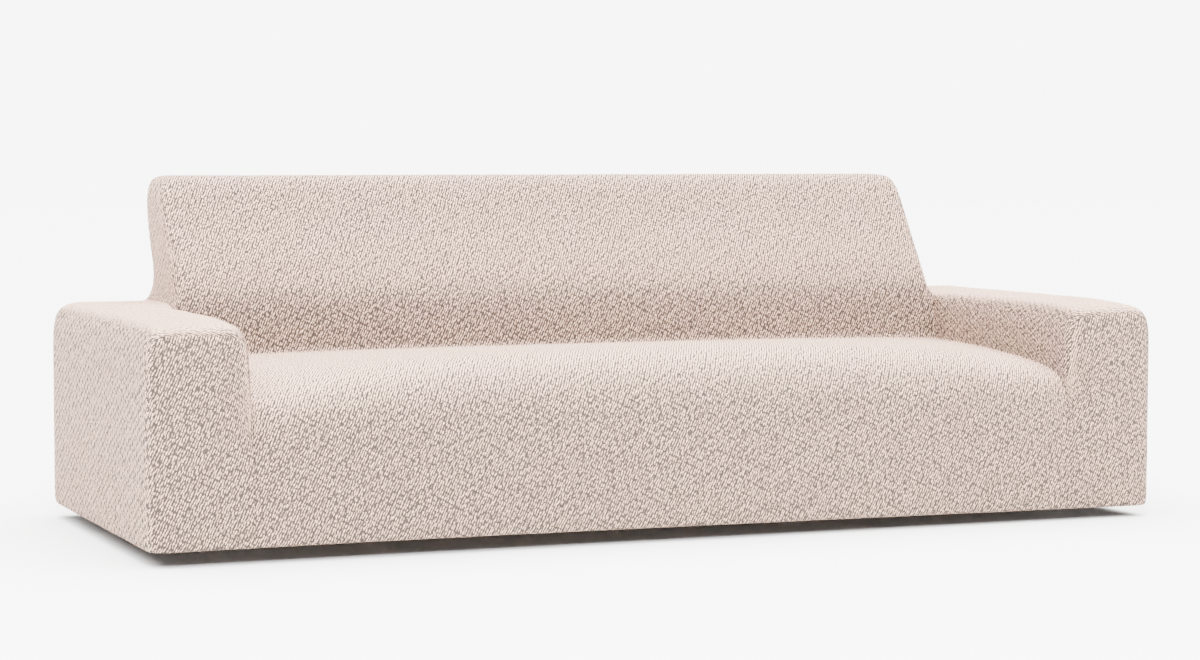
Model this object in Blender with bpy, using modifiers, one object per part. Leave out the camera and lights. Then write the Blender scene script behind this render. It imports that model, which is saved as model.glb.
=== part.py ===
"""Stretch slipcover of a long low sofa: seven knitted panels, 3 mm thick, in their fitted shape.

The cover's outer face is modelled first, as one coarse cage of quads rounded by Subdivision Surface.
Each panel is then its own stretch of that face, drawn in by half a seam gap and given its thickness.
The sofa inside is left out, so the cover is hollow and open underneath.
Metres, +X to the viewer's right along the sofa, +Y to its rear, +Z up, z = 0 at the hem.
"""

import bisect

import bmesh
import bpy
from mathutils import Matrix, Vector

# Driving dimensions
WIDTH = 2.50
DEPTH = 1.00
ARM_WIDTH = 0.236
ARM_TOP = 0.499
BACK_TOP = 0.798
SEAT_REAR_Z = 0.381
SEAT_REAR_Y = 0.68
CLOTH = 0.003
SEAM_GAP = 0.0004
HEM_TURN = 0.019
HEM_FRONT_CORNER_TURN = 0.012
HEM_LIFT = 0.008

# How the cage is rounded, how sharp its tucked creases and the fillet on the arms are,
# and how late the seat's crown falls towards the arms
ROUND_LEVELS = 1
TUCK_CREASE = 0.72
FILLET_CREASE = 0.35
CROWN_POWER = 4

HALF = WIDTH / 2
ARM_INNER = HALF - ARM_WIDTH

# Stations of the cage. Each block of the sofa fills whole cells between them.
HALF_X = (0.0, 0.34, 0.66, 0.88, ARM_INNER - 0.05, ARM_INNER, ARM_INNER + 0.07, HALF - 0.09, HALF)
X = tuple(-x for x in reversed(HALF_X[1:])) + HALF_X
Y = (0.0, 0.07, 0.17, 0.34, 0.52, SEAT_REAR_Y, SEAT_REAR_Y + 0.09, DEPTH - 0.09, DEPTH)
Z = (0.0, 0.05, 0.17, SEAT_REAR_Z, ARM_TOP, 0.535, 0.61, 0.70, BACK_TOP)
BACK_J = Y.index(SEAT_REAR_Y)
SEAT_K = Z.index(SEAT_REAR_Z)
ARM_K = Z.index(ARM_TOP)

# Height of the seat's cage from the front edge to the back crease, mid-sofa and beside the arms.
SEAT_ROWS = (
    # y, middle, beside_arm
    (0.00, 0.335, 0.294),
    (0.07, 0.404, 0.320),
    (0.17, 0.409, 0.344),
    (0.34, 0.402, 0.360),
    (0.52, 0.392, 0.369),
    (SEAT_REAR_Y, SEAT_REAR_Z, 0.371),
)
# Height of the arms' top from front to rear.
ARM_ROWS = (
    # y, top
    (0.00, ARM_TOP - 0.012),
    (0.17, ARM_TOP),
    (DEPTH, ARM_TOP - 0.004),
)
# The back above the seat: where its inside and its rear face stand, and its half width at each.
BACK_ROWS = (
    # z, inside_y, rear_y, inside_half, rear_half
    (SEAT_REAR_Z, SEAT_REAR_Y, DEPTH, ARM_INNER, ARM_INNER),
    (ARM_TOP, 0.690, DEPTH, ARM_INNER, ARM_INNER),
    (0.535, 0.703, 1.002, 1.010, 0.994),
    (0.61, 0.752, 1.012, 1.008, 0.998),
    (0.70, 0.820, 1.026, 1.007, 1.007),
    (BACK_TOP, 0.874, 1.040, 1.004, 1.000),
)
# How far the hem hangs from level, from the left end to the right.
HEM_ROWS = (
    # x, lift
    (-HALF, 0.002),
    (-0.60, 0.004),
    (0.30, 0.000),
    (HALF, -0.006),
)

# Keeps the corner of a panel from being drawn in too far
LEAST_MITRE = 0.5

PANELS = (
    "seat_apron",
    "inside_back",
    "outside_back",
    "arm_left",
    "arm_right",
    "arm_front_left",
    "arm_front_right",
)
CREAM = (0.80, 0.72, 0.67, 1.0)
ROUGHNESS = 0.9


def read_row(rows, at):
    """The row of a table at this value of its first column, worked out between its neighbours."""
    keys = [row[0] for row in rows]
    after = min(max(bisect.bisect_left(keys, at), 1), len(rows) - 1)
    low, high = rows[after - 1], rows[after]
    share = min(max((at - low[0]) / (high[0] - low[0]), 0.0), 1.0)
    return [a + (b - a) * share for a, b in zip(low[1:], high[1:])]


def is_filled(i, j, k):
    """Whether the sofa fills the cell between stations i, j, k and the next ones."""
    if not (0 <= i < len(X) - 1 and 0 <= j < len(Y) - 1 and 0 <= k < len(Z) - 1):
        return False
    beside = abs(X[i] + X[i + 1]) / 2 > ARM_INNER
    if k < SEAT_K:
        return True
    if beside:
        return k < ARM_K
    return j >= BACK_J


def place(i, j, k):
    """A cage corner in its real place: seat crown, arm slope, and the back's lean and width."""
    x, y, z = X[i], Y[j], Z[k]
    inside_y, rear_y, inside_half, rear_half = read_row(BACK_ROWS, z)
    to_rear = max((y - SEAT_REAR_Y) / (DEPTH - SEAT_REAR_Y), 0.0)
    if j >= BACK_J:
        y = inside_y + (rear_y - inside_y) * to_rear
    if abs(x) <= ARM_INNER and k > ARM_K:
        x *= (inside_half + (rear_half - inside_half) * to_rear) / ARM_INNER
    if k == SEAT_K and abs(x) <= ARM_INNER and j <= BACK_J:
        middle, beside_arm = read_row(SEAT_ROWS, Y[j])
        share = (abs(x) / ARM_INNER) ** CROWN_POWER
        z = middle + (beside_arm - middle) * share
    if k == ARM_K and abs(x) >= ARM_INNER:
        z = read_row(ARM_ROWS, Y[j])[0]
    if k == 0:
        z += read_row(HEM_ROWS, x)[0]
    return Vector((x, y, z))


def panel_of(side, middle):
    """The panel that covers a face of the cage, from the way it looks and where its middle is."""
    hand = "left" if middle.x < 0 else "right"
    beside = abs(middle.x) > ARM_INNER
    if side == "rear":
        return "outside_back"
    if side == "front" and middle.z > SEAT_REAR_Z and not beside:
        return "inside_back"
    if side == "front":
        return f"arm_front_{hand}" if beside else "seat_apron"
    if side == "top" and not beside:
        return "inside_back" if middle.z > ARM_TOP else "seat_apron"
    if side == "end" and middle.z > ARM_TOP:
        return "inside_back"
    return f"arm_{hand}"


# The corners of each face of a cell, seen from outside, and the cell next to it.
FACES = (
    # side, next cell, corners
    ("front", (0, -1, 0), ((0, 0, 0), (1, 0, 0), (1, 0, 1), (0, 0, 1))),
    ("rear", (0, 1, 0), ((1, 1, 0), (0, 1, 0), (0, 1, 1), (1, 1, 1))),
    ("end", (-1, 0, 0), ((0, 1, 0), (0, 0, 0), (0, 0, 1), (0, 1, 1))),
    ("end", (1, 0, 0), ((1, 0, 0), (1, 1, 0), (1, 1, 1), (1, 0, 1))),
    ("top", (0, 0, 1), ((0, 0, 1), (1, 0, 1), (1, 1, 1), (0, 1, 1))),
)


def build_cage():
    """The coarse cage of the whole outer face, each quad marked with its panel."""
    bm = bmesh.new()
    corners = {}

    def corner(i, j, k):
        if (i, j, k) not in corners:
            corners[i, j, k] = bm.verts.new(place(i, j, k))
        return corners[i, j, k]

    for i in range(len(X) - 1):
        for j in range(len(Y) - 1):
            for k in range(len(Z) - 1):
                if not is_filled(i, j, k):
                    continue
                for side, (di, dj, dk), offsets in FACES:
                    if is_filled(i + di, j + dj, k + dk):
                        continue
                    face = bm.faces.new([corner(i + a, j + b, k + c) for a, b, c in offsets])
                    stations = [Vector((X[i + a], Y[j + b], Z[k + c])) for a, b, c in offsets]
                    middle = sum(stations, Vector()) / len(stations)
                    face.material_index = PANELS.index(panel_of(side, middle))
    tuck_creases(bm, corners)
    turn_hem(bm)
    return bm


def tuck_creases(bm, corners):
    """Sharpens the edges where the cloth is tucked between seat, back and arms."""
    crease = bm.edges.layers.float.new("crease_edge")
    left, right = X.index(-ARM_INNER), X.index(ARM_INNER)
    lines = [(TUCK_CREASE, [(i, BACK_J, SEAT_K) for i in range(left, right + 1)])]
    for i in (left, right):
        lines.append((TUCK_CREASE, [(i, j, SEAT_K) for j in range(1, BACK_J + 1)]))
        lines.append((TUCK_CREASE, [(i, BACK_J, k) for k in (SEAT_K, ARM_K)]))
        lines.append((FILLET_CREASE, [(i, j, ARM_K) for j in range(BACK_J, len(Y))]))
    for sharpness, line in lines:
        for start, end in zip(line, line[1:]):
            edge = bm.edges.get((corners[start], corners[end]))
            edge[crease] = sharpness


def turn_hem(bm):
    """Turns the open bottom edge in under the sofa, less at the front corners, square at the rear ones."""
    square = bm.verts.layers.float.new("crease_vert")
    rim = [edge for edge in bm.edges if edge.is_boundary]
    made = bmesh.ops.extrude_edge_only(bm, edges=rim)
    for vert in (item for item in made["geom"] if isinstance(item, bmesh.types.BMVert)):
        at_end = abs(vert.co.x) > HALF - HEM_TURN
        at_front, at_rear = vert.co.y < HEM_TURN, vert.co.y > DEPTH - HEM_TURN
        turn = HEM_FRONT_CORNER_TURN if at_end and at_front else HEM_TURN
        if at_end:
            vert.co.x -= turn if vert.co.x > 0 else -turn
        if at_front:
            vert.co.y += turn
        if at_rear:
            vert.co.y -= HEM_TURN
        vert.co.z += HEM_LIFT
        vert[square] = float(at_end and at_rear)


def new_object(name, mesh, collection):
    """An object with this mesh in a collection."""
    obj = bpy.data.objects.new(name, mesh)
    collection.objects.link(obj)
    return obj


def round_form(guides):
    """The smooth outer face of the whole cover, read from the rounded cage, front face at y = 0."""
    mesh = bpy.data.meshes.new("form_guide")
    bm = build_cage()
    bm.to_mesh(mesh)
    bm.free()
    guide = new_object("form_guide", mesh, guides)
    guide.display_type = "WIRE"
    guide.hide_render = True
    rounding = guide.modifiers.new("Rounding", "SUBSURF")
    rounding.levels = ROUND_LEVELS
    rounding.render_levels = ROUND_LEVELS
    seen = guide.evaluated_get(bpy.context.evaluated_depsgraph_get())
    return bpy.data.meshes.new_from_object(seen)


def stand_on_hem(form):
    """Puts the middle of the form's footprint over the origin, with its lowest point at z = 0."""
    low, high = ([pick(vert.co[axis] for vert in form.vertices) for axis in range(3)] for pick in (min, max))
    form.transform(Matrix.Translation((0.0, -(low[1] + high[1]) / 2, -low[2])))


def away_from(edge):
    """The direction from a panel's open edge into the panel, along its face."""
    start, end = (vert.co for vert in edge.verts)
    along = (end - start).normalized()
    across = edge.link_faces[0].calc_center_median() - start
    return (across - along * across.dot(along)).normalized()


def draw_in_edges(bm):
    """Moves a panel's open edges in by half a seam gap."""
    moves = {}
    for vert in bm.verts:
        ways = [away_from(edge) for edge in vert.link_edges if edge.is_boundary]
        if ways:
            total = sum(ways, Vector())
            moves[vert] = total * (SEAM_GAP / 2) / max(ways[0].dot(total), LEAST_MITRE)
    for vert, move in moves.items():
        vert.co += move


def split_rims(bm, rims):
    """Cuts the twisted rim quads corner to corner, the same way on both sides of a seam."""
    for face in rims:
        first = min(face.verts, key=lambda vert: sum(vert.co))
        at = face.verts[:].index(first)
        bmesh.utils.face_split(face, first, face.verts[(at + 2) % 4])


def cut_panel(name, form, collection):
    """One panel of the form as a closed sheet of cloth, thickened towards the sofa."""
    bm = bmesh.new()
    bm.from_mesh(form)
    outward = bm.verts.layers.float_vector.new("outward")
    for vert in bm.verts:
        vert[outward] = vert.normal
    index = PANELS.index(name)
    others = [face for face in bm.faces if face.material_index != index]
    bmesh.ops.delete(bm, geom=others, context="FACES")
    draw_in_edges(bm)
    outer = set(bm.faces)
    made = bmesh.ops.extrude_face_region(bm, geom=bm.faces[:], use_keep_orig=True)
    inner = {item for item in made["geom"] if isinstance(item, bmesh.types.BMFace)}
    for vert in {vert for face in inner for vert in face.verts}:
        vert.co -= vert[outward] * CLOTH
    split_rims(bm, [face for face in bm.faces if face not in outer | inner])
    bmesh.ops.recalc_face_normals(bm, faces=bm.faces[:])
    for face in bm.faces:
        face.material_index = 0
    mesh = bpy.data.meshes.new(name)
    bm.to_mesh(mesh)
    bm.free()
    mesh.materials.append(knit(name))
    mesh.shade_smooth()
    return new_object(name, mesh, collection)


def knit(name):
    """The cream knit of one panel."""
    material = bpy.data.materials.new(f"{name}_knit")
    material.use_nodes = True
    principled = material.node_tree.nodes["Principled BSDF"]
    principled.inputs["Base Color"].default_value = CREAM
    principled.inputs["Roughness"].default_value = ROUGHNESS
    principled.inputs["Metallic"].default_value = 0.0
    return material


def main():
    for obj in list(bpy.data.objects):
        bpy.data.objects.remove(obj, do_unlink=True)
    cover = bpy.data.collections.new("sofa_slipcover")
    guides = bpy.data.collections.new("guides")
    for collection in (cover, guides):
        bpy.context.scene.collection.children.link(collection)
    form = round_form(guides)
    stand_on_hem(form)
    for name in PANELS:
        cut_panel(name, form, cover)


main()
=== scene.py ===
"""Cream knit slipcover in its fitted shape over a long low sofa, which is left out.

Seven panels of puckered knit meet in hairline seams. Each panel is a closed sheet of cloth that
follows the CAD cover's rounded form finely enough for the pucker to be relief on its face.
Metres, +X to the viewer's right along the sofa, +Y to its rear, +Z up, z = 0 at the hem.
"""

import bisect
import logging
import math
from dataclasses import dataclass
from enum import Enum

import bpy
import numpy as np
from mathutils import Euler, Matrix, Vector
from mathutils.kdtree import KDTree


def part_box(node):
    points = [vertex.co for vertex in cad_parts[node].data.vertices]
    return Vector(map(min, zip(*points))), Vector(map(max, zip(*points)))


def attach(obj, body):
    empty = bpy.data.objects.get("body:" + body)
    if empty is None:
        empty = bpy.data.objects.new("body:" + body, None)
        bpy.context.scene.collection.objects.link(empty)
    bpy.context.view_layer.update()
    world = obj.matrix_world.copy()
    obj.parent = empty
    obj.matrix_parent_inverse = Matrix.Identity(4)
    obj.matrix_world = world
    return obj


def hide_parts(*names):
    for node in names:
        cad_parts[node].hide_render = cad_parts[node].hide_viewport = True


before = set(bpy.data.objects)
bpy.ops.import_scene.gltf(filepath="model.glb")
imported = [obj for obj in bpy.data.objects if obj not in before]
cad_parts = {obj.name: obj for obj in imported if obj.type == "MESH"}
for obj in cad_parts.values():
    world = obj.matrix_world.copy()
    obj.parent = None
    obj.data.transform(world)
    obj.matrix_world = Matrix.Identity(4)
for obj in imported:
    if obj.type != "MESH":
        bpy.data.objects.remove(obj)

LOG = logging.getLogger("slipcover")

CUBIC_SAMPLES = 4
THREE_WAVES_LEAST = -1.5
THREE_WAVES_MOST = 3.0

Lattice = tuple[int, int, int]
Pair = tuple[float, float]
Triple = tuple[float, float, float]
Rows = tuple[tuple[float, ...], ...]
Settings = dict[str, object]
Inputs = dict[object, object]


class Side(Enum):
    """A side of the cover, or of a cell of its cage, as the direction in which it faces."""

    FRONT = (0, -1, 0)
    REAR = (0, 1, 0)
    LEFT = (-1, 0, 0)
    RIGHT = (1, 0, 0)
    TOP = (0, 0, 1)


class Part(Enum):
    """The cover's panels, each named for the CAD node it stands for."""

    SEAT_APRON = "seat_apron"
    INSIDE_BACK = "inside_back"
    OUTSIDE_BACK = "outside_back"
    ARM_LEFT = "arm_left"
    ARM_RIGHT = "arm_right"
    ARM_FRONT_LEFT = "arm_front_left"
    ARM_FRONT_RIGHT = "arm_front_right"


# The corners of each face of a cell, seen from outside.
CELL_CORNERS: dict[Side, tuple[Lattice, ...]] = {
    Side.FRONT: ((0, 0, 0), (1, 0, 0), (1, 0, 1), (0, 0, 1)),
    Side.REAR: ((1, 1, 0), (0, 1, 0), (0, 1, 1), (1, 1, 1)),
    Side.LEFT: ((0, 1, 0), (0, 0, 0), (0, 0, 1), (0, 1, 1)),
    Side.RIGHT: ((1, 0, 0), (1, 1, 0), (1, 1, 1), (1, 0, 1)),
    Side.TOP: ((0, 0, 1), (1, 0, 1), (1, 1, 1), (0, 1, 1)),
}


@dataclass
class Patch:
    """One quad of the cage: its panel, its side, its corners and its fine lattice points."""

    part: Part
    side: Side
    corners: tuple[Lattice, ...]
    grid: np.ndarray | None = None


def put_in_scene(name: str, data: bpy.types.ID) -> bpy.types.Object:
    """Makes an object and puts it in the scene.

    Args:
        name: The object's name.
        data: The mesh, light or camera that it shows.

    Returns:
        The new object.
    """
    shown = bpy.data.objects.new(name, data)
    bpy.context.scene.collection.objects.link(shown)
    return shown


def read_each(
    items: bpy.types.bpy_prop_collection, name: str, kind: type, width: int = 1
) -> np.ndarray:
    """Reads one property of each of a mesh's items.

    Args:
        items: The vertices, corners or faces, or what a layer holds for them.
        name: The property.
        kind: The kind of number it holds.
        width: How many numbers it holds.

    Returns:
        The numbers, with a row for each item where it holds several.
    """
    values = np.empty(len(items) * width, kind)
    items.foreach_get(name, values)
    return values.reshape(-1, width) if width > 1 else values


def read_row(rows: Rows, at: float) -> list[float]:
    """Reads a table between its rows.

    Args:
        rows: The rows, in the order of their first numbers.
        at: The wanted first number.

    Returns:
        The other numbers of the row that would stand there.
    """
    keys = [row[0] for row in rows]
    after = min(max(bisect.bisect_left(keys, at), 1), len(rows) - 1)
    low, high = rows[after - 1], rows[after]
    share = min(max((at - low[0]) / (high[0] - low[0]), 0.0), 1.0)
    return [a + (b - a) * share for a, b in zip(low[1:], high[1:])]


@dataclass
class Cage:
    """The coarse cage of quads round the sofa, and where each of its corners stands."""

    width: float = 2.50
    depth: float = 1.00
    arm_width: float = 0.236
    arm_top: float = 0.499
    back_top: float = 0.798
    seat_rear_z: float = 0.381
    seat_rear_y: float = 0.68
    seat_stations: tuple[float, ...] = (0.0, 0.34, 0.66, 0.88)
    depth_stations: tuple[float, ...] = (0.0, 0.07, 0.17, 0.34, 0.52)
    back_stations: tuple[float, ...] = (0.535, 0.61, 0.70)
    hem_roll: float = 0.05
    tuck_foot: float = 0.17
    seat_roll: float = 0.05
    arm_inner_roll: float = 0.07
    outer_roll: float = 0.09
    hem_turn: float = 0.019
    hem_front_corner_turn: float = 0.012
    hem_lift: float = 0.008
    crown_power: int = 4
    tuck_crease: float = 0.72
    fillet_crease: float = 0.35
    # y, height in the middle, height beside an arm
    seat_rows: Rows = (
        (0.00, 0.335, 0.300),
        (0.07, 0.404, 0.330),
        (0.17, 0.409, 0.347),
        (0.34, 0.402, 0.360),
        (0.52, 0.392, 0.369),
        (0.68, 0.381, 0.371),
    )
    # y, height of the arms
    arm_rows: Rows = ((0.00, 0.487), (0.17, 0.499), (1.00, 0.495))
    # z, inside_y, rear_y, inside_half, rear_half
    back_rows: Rows = (
        (0.381, 0.680, 1.000, 1.014, 1.014),
        (0.499, 0.690, 1.000, 1.014, 1.014),
        (0.535, 0.703, 1.002, 1.010, 0.994),
        (0.61, 0.752, 1.012, 1.008, 0.998),
        (0.70, 0.820, 1.026, 1.007, 1.007),
        (0.798, 0.874, 1.040, 1.004, 1.000),
    )
    # z, how far the front is drawn in between an arm and the seat
    front_tuck_rows: Rows = ((0.05, 0.000), (0.17, 0.006), (0.381, 0.026), (0.40, 0.000))
    # x, lift of the hem from level
    hem_rows: Rows = ((-1.25, 0.002), (-0.60, 0.004), (0.30, 0.000), (1.25, -0.006))

    def __post_init__(self) -> None:
        """Sets out the stations along each axis."""
        half, roll = self.width / 2, self.outer_roll
        self.arm_inner = half - self.arm_width
        inner, rear = self.arm_inner, self.seat_rear_y
        beside_arm = (inner - self.seat_roll, inner, inner + self.arm_inner_roll)
        half_x = (*self.seat_stations, *beside_arm, half - roll, half)
        low_z = (0.0, self.hem_roll, self.tuck_foot, self.seat_rear_z, self.arm_top)
        self.x = tuple(-x for x in reversed(half_x[1:])) + half_x
        self.y = (*self.depth_stations, rear, rear + roll, self.depth - roll, self.depth)
        self.z = (*low_z, *self.back_stations, self.back_top)
        self.left = self.x.index(-inner)
        self.right = self.x.index(inner)
        self.back_j = self.y.index(rear)
        self.tuck_foot_k = self.z.index(self.tuck_foot)
        self.seat_k = self.z.index(self.seat_rear_z)
        self.arm_k = self.z.index(self.arm_top)

    def is_filled(self, i: int, j: int, k: int) -> bool:
        """Whether the sofa fills a cell.

        Args:
            i: The station before the cell along the sofa.
            j: The one before it rearward.
            k: The one below it.

        Returns:
            True where the cell is inside seat, arms or back.
        """
        ends = (len(self.x) - 1, len(self.y) - 1, len(self.z) - 1)
        if not all(0 <= at < end for at, end in zip((i, j, k), ends)):
            return False
        if k < self.seat_k:
            return True
        if not self.left <= i < self.right:
            return k < self.arm_k
        return j >= self.back_j

    def place(self, at: Lattice) -> Vector:
        """A corner's real place: seat crown, arm slope, and the back's lean and width.

        Args:
            at: The stations of the corner. k = -1 is the inner edge of the turned-in hem.

        Returns:
            The place in metres, front face at y = 0.
        """
        i, j, k = at
        if k < 0:
            return self.turn_in(self.place((i, j, 0)))
        x, y, z = self.x[i], self.y[j], self.z[k]
        inside_y, rear_y, inside_half, rear_half = read_row(self.back_rows, z)
        to_rear = max((y - self.seat_rear_y) / (self.depth - self.seat_rear_y), 0.0)
        beside = abs(x) <= self.arm_inner
        if j >= self.back_j:
            y = inside_y + (rear_y - inside_y) * to_rear
        if beside and k > self.arm_k:
            x *= (inside_half + (rear_half - inside_half) * to_rear) / self.arm_inner
        if k == self.seat_k and beside and j <= self.back_j:
            middle, beside_arm = read_row(self.seat_rows, self.y[j])
            share = (abs(x) / self.arm_inner) ** self.crown_power
            z = middle + (beside_arm - middle) * share
        if k == self.arm_k and abs(x) >= self.arm_inner:
            z = read_row(self.arm_rows, self.y[j])[0]
        if k == 0:
            z += read_row(self.hem_rows, x)[0]
        if j == 0 and i in (self.left, self.right):
            y += read_row(self.front_tuck_rows, self.z[k])[0]
        return Vector((x, y, z))

    def turn_in(self, edge: Vector) -> Vector:
        """Finds the inner edge of the turned-in hem.

        Args:
            edge: A point of the hem's outer edge.

        Returns:
            The point of the inner edge beside it.
        """
        turned = edge.copy()
        at_end = abs(edge.x) > self.width / 2 - self.hem_turn
        at_front = edge.y < self.hem_turn
        turn = self.hem_front_corner_turn if at_end and at_front else self.hem_turn
        if at_end:
            turned.x -= math.copysign(turn, edge.x)
        if at_front:
            turned.y += turn
        if edge.y > self.depth - self.hem_turn:
            turned.y -= self.hem_turn
        turned.z += self.hem_lift
        return turned

    def part_of(self, side: Side, corners: tuple[Lattice, ...]) -> Part:
        """Names the panel that covers a face of a cell.

        Args:
            side: The side of the cell.
            corners: The face's corners.

        Returns:
            The panel.
        """
        i = sum(corner[0] for corner in corners) / 4
        k = sum(corner[2] for corner in corners) / 4
        beside = not self.left < i < self.right
        at_left = i < len(self.x) / 2
        if side is Side.REAR:
            return Part.OUTSIDE_BACK
        if side is Side.FRONT and beside:
            return Part.ARM_FRONT_LEFT if at_left else Part.ARM_FRONT_RIGHT
        if side is Side.FRONT:
            return Part.INSIDE_BACK if k > self.seat_k else Part.SEAT_APRON
        if side is Side.TOP and not beside:
            return Part.INSIDE_BACK if k > self.arm_k else Part.SEAT_APRON
        if side is not Side.TOP and k > self.arm_k:
            return Part.INSIDE_BACK
        return Part.ARM_LEFT if at_left else Part.ARM_RIGHT

    def patches(self) -> list[Patch]:
        """Every quad of the cage, with the turned-in hem below the lowest ones."""
        cells = np.ndindex(len(self.x) - 1, len(self.y) - 1, len(self.z) - 1)
        return [patch for at in cells if self.is_filled(*at) for patch in self.cell_patches(at)]

    def cell_patches(self, cell: Lattice) -> list[Patch]:
        """Makes the quads of one filled cell that no other cell covers.

        Args:
            cell: The stations before the cell.

        Returns:
            The quads, each lowest one with the hem's turned-in quad below it.
        """
        found = []
        for side, offsets in CELL_CORNERS.items():
            if self.is_filled(*(a + b for a, b in zip(cell, side.value))):
                continue
            corners = tuple(tuple(a + b for a, b in zip(cell, offset)) for offset in offsets)
            part = self.part_of(side, corners)
            found.append(Patch(part, side, corners))
            if cell[2] == 0 and side is not Side.TOP:
                below = tuple((i, j, k - 1) for i, j, k in corners)
                found.append(Patch(part, side, below))
        return found

    def creases(self) -> list[tuple[Lattice, Lattice, float]]:
        """Lists the edges of the cloth's tucks, and of the fillets where back meets arms.

        Returns:
            The two ends of each edge and how sharp it is.
        """
        tuck, fillet = self.tuck_crease, self.fillet_crease
        lines = [(tuck, [(i, self.back_j, self.seat_k) for i in range(self.left, self.right + 1)])]
        for i in (self.left, self.right):
            lines += [
                (tuck, [(i, j, self.seat_k) for j in range(self.back_j + 1)]),
                (tuck, [(i, self.back_j, k) for k in (self.seat_k, self.arm_k)]),
                (tuck, [(i, 0, k) for k in (self.tuck_foot_k, self.seat_k)]),
                (fillet, [(i, j, self.arm_k) for j in range(self.back_j, len(self.y))]),
            ]
        return [(a, b, sharp) for sharp, line in lines for a, b in zip(line, line[1:])]


@dataclass
class FineLattice:
    """The cage's stations, each interval parted into an even number of steps of about one size."""

    cage: Cage
    step: float = 0.0054

    def __post_init__(self) -> None:
        """Counts the steps of each interval. The turned-in hem is the first interval upward."""
        z = (-self.cage.hem_turn, *self.cage.z)
        self.counts = [self.count_steps(stations) for stations in (self.cage.x, self.cage.y, z)]
        self.starts = [np.concatenate(([0], np.cumsum(counts))) for counts in self.counts]

    def count_steps(self, stations: tuple[float, ...]) -> list[int]:
        """The even number of steps in each interval between stations."""
        gaps = [b - a for a, b in zip(stations, stations[1:])]
        return [2 * max(1, round(gap / self.step / 2)) for gap in gaps]

    def start(self, axis: int, station: int) -> int:
        """The fine index of a station. Stations upward are counted from the hem's inner edge."""
        return int(self.starts[axis][station + (axis == 2)])

    def fine(self, at: Lattice) -> np.ndarray:
        """The fine lattice point of a cage corner."""
        return np.array([self.start(axis, station) for axis, station in enumerate(at)])

    def key(self, points: np.ndarray) -> np.ndarray:
        """One whole number for each fine lattice point."""
        sizes = [int(starts[-1]) + 1 for starts in self.starts]
        return (points[..., 0] * sizes[1] + points[..., 1]) * sizes[2] + points[..., 2]


def blend_weights(count: int, samples: int) -> np.ndarray:
    """Cubic weights that read count + 1 even places from a row of even samples.

    Args:
        count: The number of steps wanted.
        samples: The number of steps between the samples.

    Returns:
        An array of (count + 1) by (samples + 1) weights.
    """
    weights = np.zeros((count + 1, samples + 1))
    for row in range(count + 1):
        at = row / count * samples
        first = min(max(int(at) - 1, 0), samples + 1 - CUBIC_SAMPLES)
        nodes = range(first, first + CUBIC_SAMPLES)
        for node in nodes:
            others = [other for other in nodes if other != node]
            weights[row, node] = np.prod([(at - other) / (node - other) for other in others])
    return weights


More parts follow.
